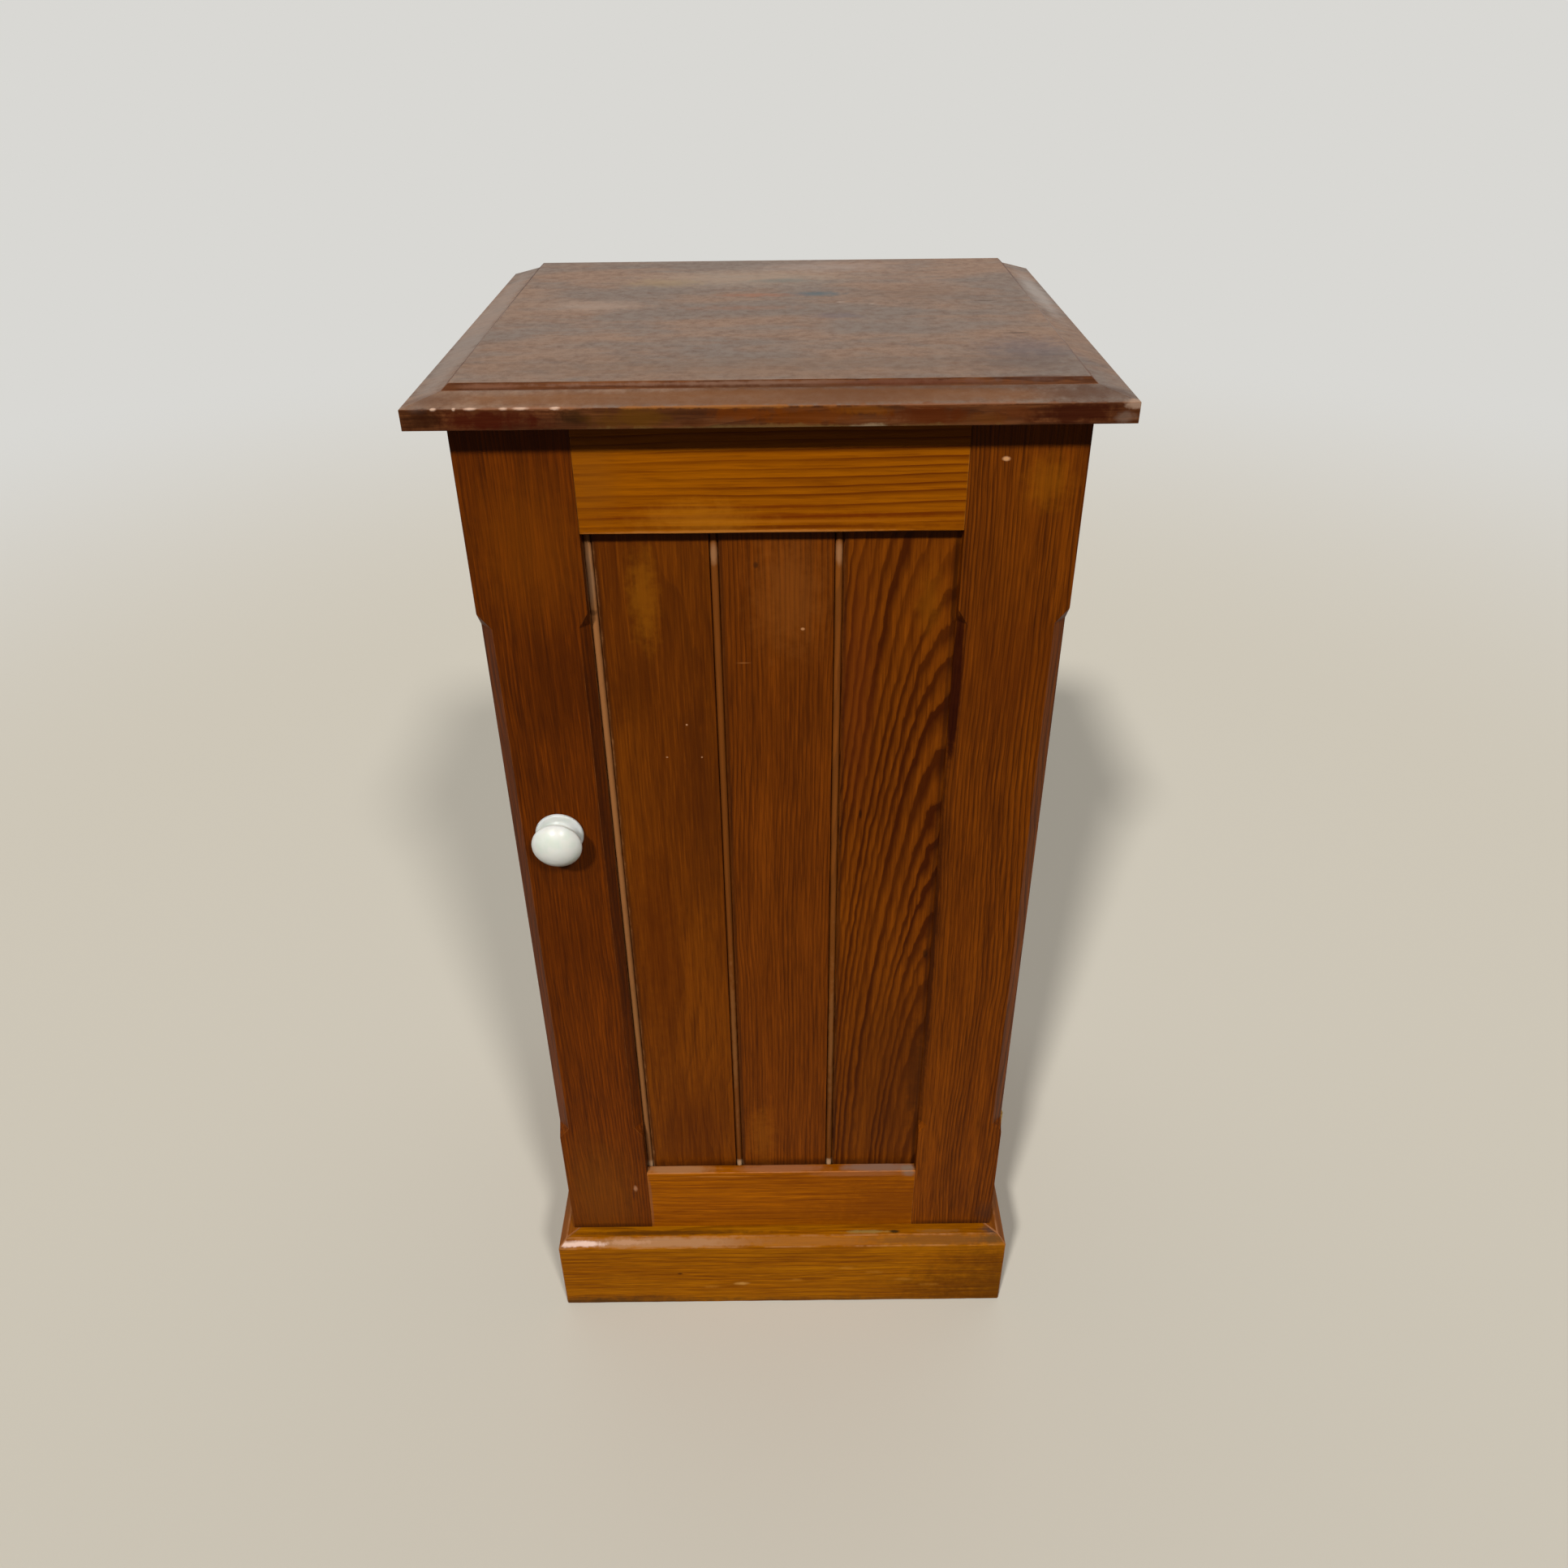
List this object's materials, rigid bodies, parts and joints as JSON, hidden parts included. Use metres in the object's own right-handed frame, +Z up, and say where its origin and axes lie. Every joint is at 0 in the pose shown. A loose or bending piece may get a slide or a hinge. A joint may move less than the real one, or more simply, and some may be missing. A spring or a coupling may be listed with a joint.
{
  "type": "bedside pot cupboard",
  "caption": "Upright bedside cupboard on a plinth, with an overhanging bevelled top, a framed door of beaded boards and a turning porcelain knob.",
  "frame": {"origin": "on the floor, in the middle of the whole object's plan, knob included", "axes": "+Z up, -Y towards the viewer of the door, +X to that viewer's right"},
  "size_m": [0.39, 0.358, 0.792],
  "materials": {
    "pine_top": "aged varnished pitch pine, satin",
    "pine_stile": "dark reddish brown varnished pitch pine, satin",
    "pine_rail": "honey-orange varnished pitch pine, satin",
    "pine_panel": "mid-brown varnished pitch pine, satin",
    "pine_side": "brown varnished pitch pine, satin",
    "pine_plinth": "orange-brown varnished pitch pine, satin",
    "pine_back": "thinly stained pine, matt",
    "pine_inside": "unfinished aged pine, matt",
    "pine_wedge": "varnished end grain, satin",
    "porcelain": "glazed cream-white porcelain",
    "brass": "dull aged brass",
    "steel": "dull steel",
    "iron": "dark iron"
  },
  "bodies": {
    "carcass": {"top_board": "pine_top", "left_side": "pine_side", "right_side": "pine_side", "bottom_board": "pine_inside", "shelf": "pine_inside", "shelf_bearer_left": "pine_inside", "shelf_bearer_right": "pine_inside", "bearer_screws": "steel", "front_top_rail": "pine_inside", "back_top_rail": "pine_inside", "top_screws": "steel", "top_glue_blocks": "pine_inside", "back_board_1": "pine_back", "back_board_2": "pine_back", "back_board_3": "pine_back", "back_board_4": "pine_back", "back_nails": "iron", "plinth_front": "pine_plinth", "plinth_left": "pine_plinth", "plinth_right": "pine_plinth", "plinth_back": "pine_back", "plinth_batten": "pine_inside", "plinth_corner_blocks": "pine_inside", "catch_block": "pine_inside", "catch_block_nails": "iron", "upper_hinge_case_leaf": "brass", "upper_hinge_pin": "brass", "lower_hinge_case_leaf": "brass", "lower_hinge_pin": "brass", "hinge_case_screws": "brass"},
    "door": {"door_left_stile": "pine_stile", "door_right_stile": "pine_stile", "door_top_rail": "pine_rail", "door_bottom_rail": "pine_rail", "door_board_1": "pine_panel", "door_board_2": "pine_panel", "door_board_3": "pine_panel", "door_wedges": "pine_wedge", "upper_hinge_door_leaf": "brass", "lower_hinge_door_leaf": "brass", "hinge_door_screws": "brass", "latch_stop_pins": "brass"},
    "latch": {"knob": "porcelain", "knob_spindle": "brass", "spindle_washer": "brass", "spindle_sleeve": "brass", "latch_tongue": "brass", "spindle_nut": "brass"}
  },
  "joints": [
    {"name": "door_swing", "type": "hinge", "parent": "carcass", "child": "door", "pos_m": [0.1775, -0.1345, 0], "axis": [0, 0, 1], "range_deg": [0, 180]},
    {"name": "latch_turn", "type": "hinge", "parent": "door", "child": "latch", "pos_m": [-0.1435, -0.155, 0.4985], "axis": [0, 1, 0], "range_deg": [0, 90]}
  ]
}
